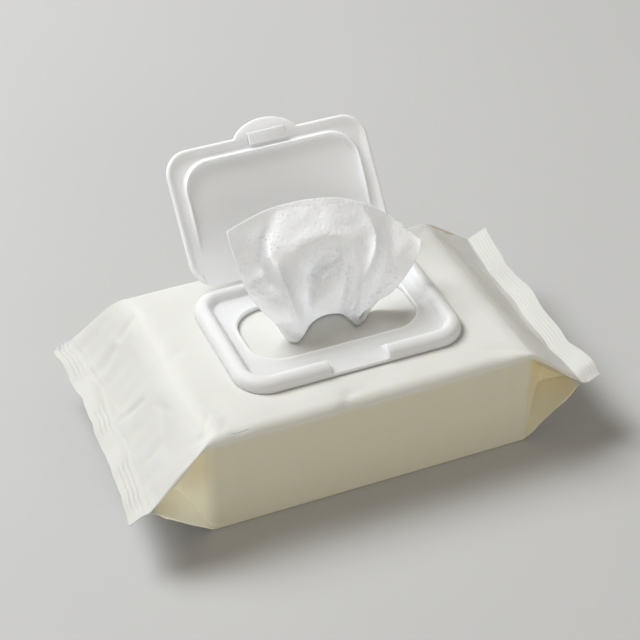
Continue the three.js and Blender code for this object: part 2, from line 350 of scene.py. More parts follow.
# Soft creases in the film: from, to, width and depth.
CREASES = (
    ((-97.8, 28.3, 28.9), (-93.8, 29.6, 32.3), 1.0, 1.7),
    ((-94, 29.6, 32), (-88, 33, 37), 2.6, 1.1),
    ((-83, 34.8, 42), (-74, 38, 49.6), 2.0, 0.9),
    ((-97.5, -2.5, 29), (-87, -5.6, 38.4), 1.5, 1.1),
    ((-93.5, -35, 32.6), (-88.5, -33, 37), 1.6, 0.4),
    ((-79.5, -46.5, 45.2), (-72, -46.5, 50), 2.0, 0.7),
    ((-71.5, 2, 50.2), (-64, 6.5, 50.2), 1.8, 0.35),
    ((-71, -52.6, 45), (-63, -43, 50.2), 1.5, 0.6),
    ((-77, -49, 46), (-69, -38, 50), 1.3, 0.5),
    ((-64, -52.6, 47), (-58, -50, 50), 2.2, 0.3),
    ((-88, -40, 37), (-82, -20, 43), 1.8, 0.5),
    ((-90, 12, 36), (-84, 20, 42), 1.5, 0.5),
    ((-83, -14, 42), (-80, -24, 44.8), 2.2, 0.4),
    ((-80, 12, 44.6), (-66, 22, 50.2), 4.0, 0.5),
    ((-66, -30, 50.2), (-60, -48, 50.2), 4.0, 0.45),
    ((-16, -52.5, 46), (-9.5, -46, 50.2), 1.5, 1.0),
    ((-12, -52.6, 47.5), (-6.5, -52.6, 40), 2.0, 0.6),
    ((-10, -49, 50.2), (-3.5, -46.5, 50.2), 1.4, 0.4),
    ((26, -52.6, 47), (24, -50, 50.2), 3.0, 0.35),
    ((52, -52.6, 44), (50, -52.6, 20), 5.0, 0.5),
    ((61, -52.6, 42), (62, -52.6, 8), 2.2, 0.5),
    ((-52, -52.6, 44), (-60, -52.6, 12), 5.0, 0.6),
    ((58, -43, 50.2), (71, -50, 48), 1.8, 0.6),
    ((52, -40, 50.2), (60, -48, 50.2), 2.5, 0.35),
    ((92, -5.5, 31.8), (88, -7, 37), 1.0, 0.9),
    ((89, 30, 35), (78, 42, 45.8), 3.0, 0.6),
    ((60, 40, 50.2), (72, 49, 49), 2.4, 0.5),
    ((-60, 44, 50.2), (-70, 50, 49.5), 3.0, 0.4),
    ((20, 52.6, 46), (28, 52.6, 22), 3.5, 0.5),
    ((-30, 52.6, 46), (-24, 52.6, 14), 4.0, 0.5),
)

# Where each seal shows its crimp lines: the middle of a patch, and its half length.
LEFT_CRIMPS = ((46, 16), (2, 10), (-41, 15))
RIGHT_CRIMPS = ((44, 16), (10, 15), (-20, 12), (-46, 13))


def film_stations():
    """Where the film's sections stand along the pack, closer together at the seals."""
    seal = np.arange(0, 10.1, 0.32)
    return np.concatenate([
        SEAL_LEFT + seal,
        np.linspace(SEAL_LEFT + 10.6, BODY_LEFT - 1.2, 34),
        np.linspace(BODY_LEFT - 0.8, BODY_LEFT + 8, 16),
        np.linspace(BODY_LEFT + 9.5, BODY_RIGHT - 9.5, 66),
        np.linspace(BODY_RIGHT - 8, BODY_RIGHT + 0.8, 16),
        np.linspace(BODY_RIGHT + 1.2, SEAL_RIGHT - 10.6, 34),
        SEAL_RIGHT - seal[::-1],
    ])


def film_grid():
    """The film as rows of points, one closed row for each station, and how far each is a side."""
    x = film_stations()
    keys = np.array(FILM_SECTIONS)
    half, low, high, crease_y, crease_low, crease_high, radius = (
        np.interp(x, keys[:, 0], keys[:, k]) for k in range(1, 8)
    )
    middle_high = blur(high, 24)
    crease_y = np.where(x < 0, blur(crease_y, 70), blur(crease_y, 8))
    # Over the right tuck the edge runs straight from the body's corner to the seal.
    chord = np.interp(x, (BODY_RIGHT, SEAL_RIGHT - 9.2), (FILM_TOP - 1.1, 29.2))
    past = ramp(x, BODY_RIGHT - 2, BODY_RIGHT + 1) * (1 - ramp(x, SEAL_RIGHT - 12, SEAL_RIGHT - 10))
    edge_high = np.where(x > 0, blur(high, 4), middle_high) * (1 - past) + chord * past
    high = middle_high
    foot_radius = np.minimum(radius, 1.2)
    droop = 0.9 * ramp(high, FILM_TOP - 4, FILM_TOP)

    # How many points each part of half a section has, from the middle of the underside to the top.
    under, foot, lower, back, upper, shoulder, top = 14, 4, 9, 20, 9, 6, 42

    def run(start, end, count):
        """Points from start to end across every section."""
        share = np.linspace(0, 1, count, endpoint=False)
        return [a[:, None] + (b - a)[:, None] * share for a, b in zip(start, end)]

    def corner(reach, centre_z, start, count):
        angle = np.radians(np.linspace(start, start + 90, count, endpoint=False))
        return [
            (half - reach)[:, None] + reach[:, None] * np.cos(angle),
            centre_z[:, None] + reach[:, None] * np.sin(angle),
        ]

    middle = np.zeros_like(x)
    parts = (
        run((middle, low), (half - foot_radius, low), under),
        corner(foot_radius, low + foot_radius, -90, foot),
        run((half, low + foot_radius), (crease_y, crease_low), lower),
        run((crease_y, crease_low), (crease_y, crease_high), back),
        run((crease_y, crease_high), (half, high - radius), upper),
        corner(radius, high - radius, 0, shoulder),
        run((half - radius, high), (middle, high), top),
    )
    # How far each point lies on a side: the mask of the film's painted side shade and tuck light.
    side = np.concatenate([
        np.zeros(under), np.linspace(0, 1, foot), np.ones(lower + back), np.linspace(1, 0.6, upper),
        np.linspace(0.4, 0, shoulder), np.zeros(top + 1),
    ])
    side = np.concatenate([side, side[-2::-1]]) * ramp(high - low, 1, 8)[:, None]
    y = np.concatenate([part[0] for part in parts] + [middle[:, None]], axis=1)
    z = np.concatenate([part[1] for part in parts] + [high[:, None]], axis=1)
    y = np.concatenate([y, -y[:, -2::-1]], axis=1)
    z = np.concatenate([z, z[:, -2::-1]], axis=1)
    out = np.abs(y)
    drop = droop[:, None] * ramp(out, 36, 52) ** 2 + (high - edge_high)[:, None] * ramp(out, 24, 52)
    z = z - drop * ramp(z - high[:, None], -6.5, -0.5)
    return np.repeat(x[:, None], y.shape[1], axis=1), y, z, side


def patches(y, spans):
    """1 inside the given spans along a seal, 0 outside them."""
    inside = [1 - ramp(np.abs(y - middle), half - 5, half + 2) for middle, half in spans]
    return np.max(inside, axis=0)


def shape_seals(x, y, z, settings):
    """Crimps the two end seals, bows them and lets their free edges wave."""
    from_left, from_right = x - x.min(), x.max() - x
    line = 2 * math.pi / settings.crimp_pitch
    inside_left = ramp(from_left, 1.2, 2.2) * (1 - ramp(from_left, 8.6, 9.8))
    inside_right = ramp(from_right, 1.0, 1.8) * (1 - ramp(from_right, 8.2, 9.6))
    left_lines = patches(y, LEFT_CRIMPS) * inside_left * np.sin(from_left * line)
    right_patches = 0.25 + 0.75 * patches(y, RIGHT_CRIMPS)
    right_lines = right_patches * inside_right * np.sin(from_right * line * 1.3)
    free_left = 1 - ramp(from_left, 0, 10)
    free_right = 1 - ramp(from_right, 0, 9)
    wave = settings.edge_wave
    z = z + settings.crimp_height * (left_lines + 0.3 * right_lines)
    z = z + wave * free_left * (np.sin(y / 7.4 + 0.4) + 0.8 * np.sin(y / 3.6 + 2.0))
    z = z + wave * free_right * (0.8 * np.sin(y / 8.6 + 1.2) + 0.4 * np.sin(y / 4.3))
    # Between the crimped patches the seal swells a little.
    swell = bump(from_left, 5, 3.2)
    z = z + 0.9 * swell * (1 - patches(y, LEFT_CRIMPS))
    # The filling holds the middle of each seal in, and the corners stand out.
    bow_left = 3.1 * (1 - (y / 58) ** 2) + 0.8 * bump(y, 20, 5) - 0.9 * bump(y, -3, 6)
    bow_left = bow_left - 1.0 * bump(y, 54, 4) + 0.35 * np.sin(y / 2.1) * np.sin(y / 5.3 + 1)
    bow_right = 3.3 * (1 - (y / 57) ** 2) + 1.3 * bump(y, -33, 6) - 1.2 * bump(y, 5, 9)
    bow_right = bow_right + 0.7 * bump(y, 29, 5)
    x = x + bow_left * ramp(from_left, 34, 6) * (1 - 0.25 * free_left)
    x = x - bow_right * ramp(from_right, 32, 6)
    x = x + 0.04 * y * ramp(from_left, 32, 8) + 0.01 * y * ramp(from_right, 32, 8)
    z = z - 3.0 * ramp(y, -50, -57) * ramp(from_right, 11, 5)
    return x, y, z


def crease_depth(points, start, end, width, depth):
    """How deep one crease is at each point: deepest along its middle, gone past its ends."""
    start, end = np.array(start), np.array(end)
    way = end - start
    share = (points - start) @ way / (way @ way)
    near = start + np.clip(share, 0, 1)[:, None] * way
    off = np.linalg.norm(points - near, axis=1)
    return depth * np.exp(-((off / width) ** 2)) * (1 - 0.6 * np.abs(np.clip(share, 0, 1) - 0.4))


def slack(points, settings):
    """How far the film stands off its plain shape, along its normal."""
    x, y, z = points.T
    from_frame = np.maximum(np.abs(x) - FRAME_HIGH.x, np.abs(y) - FRAME_HIGH.y)
    held = (z > FILM_TOP - 1.5) * (1 - ramp(from_frame, 0.5, 10))
    on_floor = 1 - ramp(z, 0.2, 5)
    in_seal = 1 - ramp(x, SEAL_LEFT + 10, SEAL_LEFT + 14) * (1 - ramp(x, SEAL_RIGHT - 14, SEAL_RIGHT - 10))
    end = ramp(np.abs(x + 1.5), 66, 76)
    broad = waves(points, 36, 1) * (0.5 + 0.7 * end)
    medium = waves(points * (1, 0.5, 1), 13, 2) * (0.16 + 0.55 * end)
    fine = waves(points * (1, 0.6, 1), 5, 3) * (0.03 + 0.13 * end)
    total = (broad + medium + fine) * (1 - 0.8 * in_seal)
    for crease in CREASES:
        total -= crease_depth(points, *crease)
    return total * (1 - held) * (1 - on_floor) * settings.slack


def cut_slot(bm):
    """Cuts the slot that the wipes come out of, and rounds its edge."""
    straight = SLOT_HALF_X - SLOT_HALF_Y

    def nearest(co):
        return Vector((SLOT_X + max(-straight, min(straight, co.x - SLOT_X)), SLOT_Y, co.z))

    inner = []
    for face in bm.faces:
        centre = face.calc_center_median()
        if centre.z > FILM_TOP - 2 and (centre - nearest(centre)).length < SLOT_HALF_Y:
            inner.append(face)
    bmesh.ops.delete(bm, geom=inner, context="FACES")
    for vertex in bm.verts:
        if vertex.is_boundary:
            middle = nearest(vertex.co)
            vertex.co = middle + (vertex.co - middle).normalized() * SLOT_HALF_Y


def build_pouch(settings):
    x, y, z, side = (blur(values, 1) for values in film_grid())
    x, y, z = shape_seals(x, y, z, settings)
    # The flank layer carries the mask of the film's painted side shade and tuck light.
    bm, order = sheet_grid(x.shape[1], x.shape[0], "flank")
    flank = bm.verts.layers.float["flank"]
    place(order, np.stack([x.ravel(), y.ravel(), z.ravel()], axis=1))
    for vertex, value in zip(order, side.ravel()):
        vertex[flank] = value
    bmesh.ops.remove_doubles(bm, verts=bm.verts, dist=0.004)
    ends = bmesh.ops.holes_fill(bm, edges=[e for e in bm.edges if e.is_boundary], sides=0)["faces"]
    bmesh.ops.triangulate(bm, faces=ends)
    bmesh.ops.recalc_face_normals(bm, faces=bm.faces)
    bm.normal_update()
    points = np.array([v.co for v in bm.verts])
    normals = np.array([v.normal for v in bm.verts])
    place(bm.verts, points + normals * slack(points, settings)[:, None])
    cut_slot(bm)
    film = finished("film_pouch_skin", bm, film_finish(tuple(settings.colour)), "pack")
    wall = film.modifiers.new("wall", "SOLIDIFY")
    wall.thickness = 0.15 * MM
    wall.offset = -1
    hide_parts("film_pouch")
    return film


# ---------- wipes ----------


def build_stack(settings, material):
    """The folded wipes left in the pack: a soft block with the fold lines of its layers."""
    bm = bmesh.new()
    bmesh.ops.create_cube(bm, size=1)
    size, centre = STACK_HIGH - STACK_LOW, (STACK_LOW + STACK_HIGH) / 2
    bmesh.ops.scale(bm, vec=size, verts=bm.verts)
    bmesh.ops.translate(bm, vec=centre, verts=bm.verts)
    bmesh.ops.bevel(
        bm, geom=[e for e in bm.edges if abs(e.verts[0].co.z - e.verts[1].co.z) > 1], offset=4,
        segments=4, profile=0.5, affect="EDGES", material=-1,
    )
    upright = [e for e in bm.edges if abs(e.verts[0].co.z - e.verts[1].co.z) > 1]
    bmesh.ops.subdivide_edges(bm, edges=upright, cuts=4 * settings.layers - 1, use_grid_fill=True)
    layer = size.z / settings.layers
    for vertex in bm.verts:
        share = (vertex.co.z - STACK_LOW.z) / layer
        out = Vector((vertex.co.x - centre.x, vertex.co.y - centre.y, 0)).normalized()
        vertex.co -= out * (0.5 + 0.5 * math.cos(2 * math.pi * share)) * 0.45
    bmesh.ops.recalc_face_normals(bm, faces=bm.faces)
    stack = finished("folded_wipes", bm, material, "pack")
    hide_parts("wipe_stack")
    return stack


# The drawn wipe is drawn first on an upright plane, as x and z, and its folds then stand off
# that plane along TOWARD: forward and up, or back and down where a depth is negative.
TOWARD = Vector((-0.308, -0.725, 0.616))
WIPE_TOP = (
    (-45, 111), (-38, 114.5), (-28, 118), (-17, 118.8), (-6, 118), (6, 115), (19, 108), (31, 98),
    (44.5, 81),
)
WIPE_LEFT = (
    (-17.5, 45), (-20.5, 49), (-25, 58), (-31, 66.5), (-36.5, 77), (-41, 93), (-44, 105), (-45, 111),
)
WIPE_RIGHT = ((17, 44), (19, 48), (24, 54), (31, 57.5), (39, 67), (43.5, 75), (44.5, 81))
WIPE_FOOT = (
    (-16.5, 45), (-13, 43), (-10.5, 45.5), (-7, 51.5), (-1, 54), (6, 52.5), (10, 47.5), (12.3, 43.5),
    (16, 45),
)

# Each fold of the drawn wipe: its width, how sharp its crest is (2 is round), and points along
# it as x, z and how far it stands out there.
WIPE_FOLDS = {
    "left_valley": (
        5.0, 2.0,
        ((-26, 116, -1), (-29, 108, -3), (-32, 100, -4), (-32, 92, -5), (-30.5, 84, -4.5)),
    ),
    "left_pocket": (3.2, 2.0, ((-29, 83, -4), (-26, 78, -6), (-24, 74, -2))),
    "left_ridge": (
        2.5, 1.2,
        ((-26, 92, 1.5), (-22, 84, 5), (-19, 75, 6.5), (-15.5, 64, 6.5), (-12.5, 52, 4)),
    ),
    "left_flank": (5.0, 2.0, ((-27, 80, 1), (-23, 70, 3.5), (-18.5, 60, 3.5), (-15, 50, 1))),
    "hollow_head": (7.0, 3.0, ((-8, 82, -6.5), (-4, 85, -8), (1, 85, -5.5))),
    "hollow": (4.4, 2.4, ((-7, 82, -3), (-9, 75, -5), (-9, 67, -4.5), (-8, 57, -2.5))),
    "inner_ridge": (2.6, 1.4, ((4, 79, 1), (-0.5, 75, 3.5), (-4, 69, 5), (-5.5, 63, 5), (-6, 57, 2))),
    "centre_valley": (2.6, 2.0, ((9, 84, -1), (8, 74, -2.5), (7, 64, -3), (6, 58, -1))),
    "right_ridge": (
        2.6, 1.5,
        ((14, 112, 1), (19, 101, 2), (22.5, 90, 3.5), (22, 80, 5), (18, 69, 5.5), (14, 52, 3)),
    ),
    "right_valley": (
        5.0, 2.0,
        ((23, 108, -1), (28, 97, -2.5), (29, 84, -3.5), (25, 70, -3.5), (20, 59, -2.5)),
    ),
    "wing": (7.0, 2.0, ((36, 94, 1.5), (36, 80, 1.5))),
    "left_panel": (6.0, 2.0, ((-38, 96, 1.5), (-33, 80, 1.5), (-24, 66, 2))),
}

# Under the film the sheet runs on over the stack: how many rows, how far apart, and the share by
# which each is wider than the first.
STRIP_ROWS, STRIP_STEP, STRIP_SPREAD = 4, 5.0, 0.26

# How far the sheet's middle bulges forward, in even steps from its foot to its top.
WIPE_BULGE = ((0,), (0,), (0.5,), (1.5,), (2.5,), (2,), (-1,), (-6,), (-13,), (-20,), (-27,))


def along(points, t):
    """Points on a smooth line through the given ones, at shares t of its steps."""
    points = np.array(points, float)
    padded = np.concatenate([[2 * points[0] - points[1]], points, [2 * points[-1] - points[-2]]])
    position = np.clip(t, 0, 1) * (len(points) - 1)
    index = np.minimum(position.astype(int), len(points) - 2)
    f = (position - index)[:, None]
    a, b, c, d = (padded[index + k] for k in range(4))
    return b + 0.5 * f * (c - a + f * (2 * a - 5 * b + 4 * c - d + f * (3 * (b - c) + d - a)))


def even(points, t):
    """Points at shares t of the length of the smooth line through the given ones."""
    fine = along(points, np.linspace(0, 1, 400))
    length = np.concatenate([[0], np.cumsum(np.linalg.norm(np.diff(fine, axis=0), axis=1))])
    return np.stack([np.interp(t * length[-1], length, axis) for axis in fine.T], axis=1)


def fold_depth(flat, width, sharpness, line):
    """How far one fold stands out at each place of the plane."""
    line = along(line, np.linspace(0, 1, 60))
    off = np.linalg.norm(flat[:, None] - line[None, :, :2], axis=2)
    share = np.exp(-(((off - off.min(axis=1)[:, None]) / 1.5) ** 2))
    depth = (share * line[None, :, 2]).sum(axis=1) / share.sum(axis=1)
    return depth * np.exp(-((off.min(axis=1) / width) ** sharpness))


def wipe_points(columns, rows, settings):
    u, v = np.linspace(0, 1, columns), np.linspace(0, 1, rows)
    foot, top = even(WIPE_FOOT, u), even(WIPE_TOP, u)
    left, right = even(WIPE_LEFT, v), even(WIPE_RIGHT, v)
    share, level = u[None, :, None], v[:, None, None]
    flat = (1 - level) * foot + level * top + (1 - share) * left[:, None] + share * right[:, None]
    corners = (1 - level) * ((1 - share) * foot[0] + share * foot[-1])
    flat = (flat - corners - level * ((1 - share) * top[0] + share * top[-1])).reshape(-1, 2)
    across, level = np.tile(u, rows), np.repeat(v, columns)

    depth = sum(fold_depth(flat, *fold) for fold in WIPE_FOLDS.values())
    # The middle bulges forward, and the top rolls back from there, least at its two corners.
    depth += along(WIPE_BULGE, level)[:, 0] * (1 - 0.6 * (2 * across - 1) ** 4)
    # Fine creases run down into the legs.
    crease = waves(np.stack([across * 60, level * 7, level * 0], axis=1), 3, 6)
    small = waves(np.stack([flat[:, 0], flat[:, 1], flat[:, 0] * 0], axis=1), 7, 5)
    strength = (0.4 + 0.6 * (1 - ramp(level, 0.1, 0.35))) * (1 - ramp(level, 0.25, 0.8))
    depth += strength * crease + 0.45 * small
    floor = FILM_TOP + 0.7
    to_film = (floor - np.tile(foot[:, 1], rows)) / TOWARD.z
    free = ramp(level, 0, 0.2)
    depth = depth * settings.fold_depth * free + to_film * (1 - free)
    points = np.stack([flat[:, 0], flat[:, 0] * 0, flat[:, 1]], axis=1) + depth[:, None] * np.array(TOWARD)
    points[:, 2] = np.maximum(points[:, 2], floor)
    return points.reshape(rows, columns, 3)


def root_rows(foot):
    """The sheet from its foot back over the film, down into the slot and on along the stack."""
    inside = np.clip(SLOT_X + (foot[:, 0] + 2) * 0.95, SLOT_X - SLOT_HALF_X + 3, SLOT_X + SLOT_HALF_X - 3)
    lip = np.stack([inside, np.full(len(foot), SLOT_Y - 1.5), foot[:, 2]], axis=1)
    inner = np.stack([inside, np.full(len(foot), SLOT_Y), np.full(len(foot), STACK_HIGH.z + 0.4)], axis=1)
    over = [foot + (lip - foot) * share for share in (0.25, 0.5, 0.75, 1)]
    down = [lip + (inner - lip) * share for share in (0.5, 1)]
    middle = np.array((SLOT_X, SLOT_Y, 0))
    under = [
        middle + (inner - middle) * (1 + STRIP_SPREAD * step, 1, 1) + (0, STRIP_STEP * step, 0)
        for step in range(1, STRIP_ROWS + 1)
    ]
    return np.array((over + down + under)[::-1])


def build_drawn_wipe(settings, material):
    points = wipe_points(200, 140, settings)
    points = np.concatenate([root_rows(points[0]), points])
    bm, order = sheet_grid(points.shape[1], points.shape[0])
    place(order, points.reshape(-1, 3))
    bmesh.ops.smooth_vert(
        bm, verts=bm.verts, factor=0.5, use_axis_x=True, use_axis_y=True, use_axis_z=True,
    )
    wipe = finished("drawn_wipe_cloth", bm, material, "pack")
    thick = wipe.modifiers.new("cloth", "SOLIDIFY")
    thick.thickness = 0.45 * MM
    thick.offset = 0
    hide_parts("drawn_wipe")
    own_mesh(wipe)
    return wipe


# ---------- flip-top ----------


def rounded_outline(half_x, half_y, radius, share):
    """Points round a rectangle with round corners: share steps on each corner and each side."""
    arcs = []
    for quarter, (sign_x, sign_y) in enumerate(((1, 1), (-1, 1), (-1, -1), (1, -1))):
        angle = np.radians(90 * (quarter + np.linspace(0, 1, share + 1)))
        arcs.append(np.stack([
            sign_x * (half_x - radius) + radius * np.cos(angle),
            sign_y * (half_y - radius) + radius * np.sin(angle),
        ], axis=1))
    points = []
    for arc, following in zip(arcs, arcs[1:] + arcs[:1]):
        steps = np.linspace(0, 1, share + 1)[1:-1, None]
        points += [*arc, *(arc[-1] + (following[0] - arc[-1]) * steps)]
    return points


LOOP_SHARE = 24


def stacked_loops(profile, closed, centre_y=0.0):
    """A shell through rounded outlines: (half x, half y, corner radius, height), in order."""
    bm = bmesh.new()
    first = bmesh.ops.create_circle(bm, segments=8 * LOOP_SHARE, radius=1)["verts"]
    edges = list(bm.edges)
    rings = [first]
    for _ in profile[1:]:
        grown = bmesh.ops.extrude_edge_only(bm, edges=edges)["geom"]
        ring = [None] * len(first)
        index = {v: k for k, v in enumerate(rings[-1])}
        new = [g for g in grown if isinstance(g, bmesh.types.BMVert)]
        for vertex in new:
            for edge in vertex.link_edges:
                other = edge.other_vert(vertex)
                if other in index:
                    ring[index[other]] = vertex
        edges = [g for g in grown if isinstance(g, bmesh.types.BMEdge)]
        rings.append(ring)
    for ring, (half_x, half_y, radius, height) in zip(rings, profile):
        for vertex, (x, y) in zip(ring, rounded_outline(half_x, half_y, radius, LOOP_SHARE)):
            vertex.co = (x, y + centre_y, height)
    if closed:
        loops = [e for e in bm.edges if e.is_boundary]
        bmesh.ops.bridge_loops(bm, edges=loops)
    else:
        bmesh.ops.holes_fill(bm, edges=[e for e in bm.edges if e.is_boundary], sides=0)
    bmesh.ops.recalc_face_normals(bm, faces=bm.faces)
    return bm


def smooth_profile(points, steps):
    """A finer profile on a smooth line through the given points."""
    t = np.linspace(0, 1, (len(points) - 1) * steps + 1)
    return [tuple(p) for p in along(points, t)]


NOTCH_HALF = 13.2  # half the width of the gap in the rim, where the thumb tab sits


def frame_profile():
    """The rim's section, from the foot of its outer wall, over the crest and down to the window."""
    half_x, half_y, radius, foot = FRAME_HIGH.x, FRAME_HIGH.y, 14.5, FRAME_LOW.z
    top = FRAME_HIGH.z

    def outer(inset, height):
        return (half_x - inset, half_y - inset, radius - inset, height)

    crown = smooth_profile([
        outer(0, foot), outer(0.1, foot + 1.4), outer(0.45, foot + 2.9), outer(1.2, foot + 4.1),
        outer(2.5, foot + 4.95), outer(4.3, top), outer(5.7, top - 0.4), outer(6.8, top - 1.5),
        outer(7.5, top - 2.6),
    ], 3)
    step = smooth_profile([
        outer(8.0, top - 3.3), (43.4, 26.2, 7.7, top - 3.6), (42.2, 24.8, 8.6, top - 3.7),
    ], 3)
    ledge = [(41, 22.6, 11, top - 3.7), (40.2, 20.6, 13.0, top - 3.6)]
    window = smooth_profile([
        (39.7, 19.8, 13.8, top - 3.35), (39.0, 19.1, 14, top - 3.3), (38.65, 18.65, 14, top - 3.8),
        (38.6, 18.6, 14, foot),
    ], 3)
    return crown + step + ledge + window


def build_frame(settings):
    bm = stacked_loops(frame_profile(), closed=True)
    ledge = FRAME_HIGH.z - 3.7
    for side in (-1, 1):
        for x in (NOTCH_HALF - 0.3, NOTCH_HALF, NOTCH_HALF + 0.3):
            bmesh.ops.bisect_plane(
                bm, geom=[*bm.verts, *bm.edges, *bm.faces], plane_co=(side * x, 0, 0), plane_no=(1, 0, 0),
            )
    for vertex in bm.verts:
        co = vertex.co
        if abs(co.x) < NOTCH_HALF - 0.15 and co.y < -25 and co.z > ledge:
            co.z = ledge + (co.z - ledge) * 0.04
    plastic = moulded_finish("frame_plastic", tuple(settings.frame_colour), 0.5, 0.0025)
    frame_piece = finished("flip_top_frame", bm, plastic, "pack")
    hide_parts("lid_base")
    return frame_piece


# The lid is made shut, with its inner face down: near and far are distances from the hinge's axis.
LID_NEAR, LID_FAR, LID_HALF_X, LID_RADIUS = 0.7, 61.3, 47.4, 11.0
RIB_NEAR, RIB_FAR, RIB_HALF_X, RIB_RADIUS = 7.0, 55.2, 41.0, 13.0
TAB_X, TAB_HALF_X, TAB_REACH, TAB_CUTS = 0.9, 14.6, 6.6, 47
LATCH_LOW, LATCH_HIGH = (-7.5, 0.4 - LID_FAR - 1.6, -1.2), (10.1, 4.3 - LID_FAR, 0.8)
LATCH_ROUNDING = 0.4
WEB_HALF_X = 24


def lid_profile():
    """From the middle of the inner face out over the rib and the lip to the middle of the outer face."""
    centre = -(LID_NEAR + LID_FAR) / 2
    half_y = (LID_FAR - LID_NEAR) / 2
    rib_half_y = (RIB_FAR - RIB_NEAR) / 2

    def rib(inset, height):
        return (RIB_HALF_X - inset, rib_half_y - inset, RIB_RADIUS - inset, height)

    def edge(inset, height):
        return (LID_HALF_X - inset, half_y - inset, LID_RADIUS - inset * 0.9, height)

    def shrunk(loop, share):
        return (*(value * share for value in loop[:3]), loop[3])

    shares = (0.05, 0.2, 0.35, 0.5, 0.65, 0.8)
    inner = [shrunk(rib(3, 0.6), share) for share in shares]
    ridge = smooth_profile([
        rib(3, 0.6), rib(2.2, 0.5), rib(1.5, 0.0), rib(0.9, -1.1), rib(0.45, -1.7), rib(0.0, -1.1),
        rib(-0.6, 0.0), rib(-1.2, 0.45),
    ], 3)
    band = smooth_profile([
        edge(4.6, 0.6), edge(3.6, 0.5), edge(2.6, 0.1), edge(1.8, -0.35), edge(1.0, -0.5),
        edge(0.35, -0.2), edge(0, 0.5), edge(0.15, 1.3), edge(0.8, 1.9), edge(2.0, 2.0), edge(4, 2.0),
    ], 3)
    outer = [shrunk(edge(4, 2.0), share) for share in (0.95, *shares[::-1])]
    return inner + ridge + band + outer, centre


def build_lid(settings, material):
    profile, centre = lid_profile()
    bm = stacked_loops(profile, closed=False, centre_y=centre)
    for vertex in bm.verts:
        co = vertex.co
        if co.z < 0.55 and abs(co.x) < RIB_HALF_X + 1.3 and -co.y < RIB_FAR + 1.3:
            fade = float(ramp(-co.y, 14, 34))
            co.z = 0.6 + (co.z - 0.6) * fade
        dish = (1 - (co.x / LID_HALF_X) ** 2) * (1 - ((co.y - centre) / 31) ** 2)
        co.z += settings.dish * max(0.0, dish)
    draw_tab(bm)
    add_box(bm, LATCH_LOW, LATCH_HIGH, LATCH_ROUNDING)
    turn = Matrix.Translation(HINGE) @ Matrix.Rotation(-OPEN_ANGLE, 4, "X")
    bmesh.ops.transform(bm, matrix=turn, verts=bm.verts)
    lid = finished("flip_top_lid", bm, material, "lid")
    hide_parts("lid")
    return lid


def add_box(bm, low, high, rounding):
    low, high = Vector(low), Vector(high)
    made = bmesh.ops.create_cube(bm, size=1)["verts"]
    bmesh.ops.scale(bm, vec=high - low, verts=made)
    bmesh.ops.translate(bm, vec=(low + high) / 2, verts=made)
    edges = list({e for v in made for e in v.link_edges})
    bmesh.ops.bevel(
        bm, geom=edges, offset=rounding, segments=3, profile=0.5, affect="EDGES", material=-1,
    )


def draw_tab(bm):
    """Draws the lid's far edge out into the half-moon thumb tab."""
    crest = 0.95 - LID_FAR
    for x in np.linspace(TAB_X - TAB_HALF_X, TAB_X + TAB_HALF_X, TAB_CUTS):
        near = [v for v in bm.verts if v.co.y < crest + 6]
        edges = {e for v in near for e in v.link_edges}
        faces = {f for v in near for f in v.link_faces}
        bmesh.ops.bisect_plane(bm, geom=[*near, *edges, *faces], plane_co=(x, 0, 0), plane_no=(1, 0, 0))
    for vertex in bm.verts:
        share = 1 - ((vertex.co.x - TAB_X) / TAB_HALF_X) ** 2
        if vertex.co.y < crest and vertex.co.z < 0.62 and share > 0:
            vertex.co.y -= TAB_REACH * share ** 0.7


def build_hinge_web(settings, material):
    """The thin strap that joins the frame and the lid, bent where it flexes."""
    bm, order = sheet_grid(49, 13)
    slant = Vector((0, math.cos(math.pi - OPEN_ANGLE), math.sin(math.pi - OPEN_ANGLE)))
    foot = Vector((0, HINGE.y - 0.6, HINGE.z - 0.9))
    middle = Vector((0, HINGE.y, HINGE.z - 0.1))
    tip = HINGE + slant * (LID_NEAR + 0.8)
    line = along([foot, middle, HINGE + slant * 1.2, tip], np.linspace(0, 1, 13))
    x = np.linspace(-WEB_HALF_X, WEB_HALF_X, 49)
    place(order, [(a, p[1], p[2]) for p in line for a in x])
    web = finished("hinge_web", bm, material, None)
    thick = web.modifiers.new("web", "SOLIDIFY")
    thick.thickness = 0.4 * MM
    thick.offset = 0
    start, end = middle * MM, (HINGE + slant * 1.6) * MM
    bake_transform(web, "pack", "lid", start=start, end=end)
    return web


# ---------- stage ----------


# Places in the stage are in metres.
KEY_PLACE, FILL_PLACE, CAMERA_PLACE = (-0.75, 0.85, 1.5), (0.1, -2.0, 0.45), (-0.2692, -0.6268, 0.5866)
CAMERA_DOWN, CAMERA_ROUND, CAMERA_LENS = 38.14, 22.98, 113.4  # degrees, degrees and millimetres


def area_light(name, energy, size, position, target, colour):
    data = bpy.data.lights.new(name, "AREA")
    data.energy, data.size, data.color = energy, size, colour
    light = bpy.data.objects.new(name, data)
    light.location = position
    light.rotation_euler = (Vector(target) - Vector(position)).to_track_quat("-Z", "Y").to_euler()
    bpy.context.scene.collection.objects.link(light)


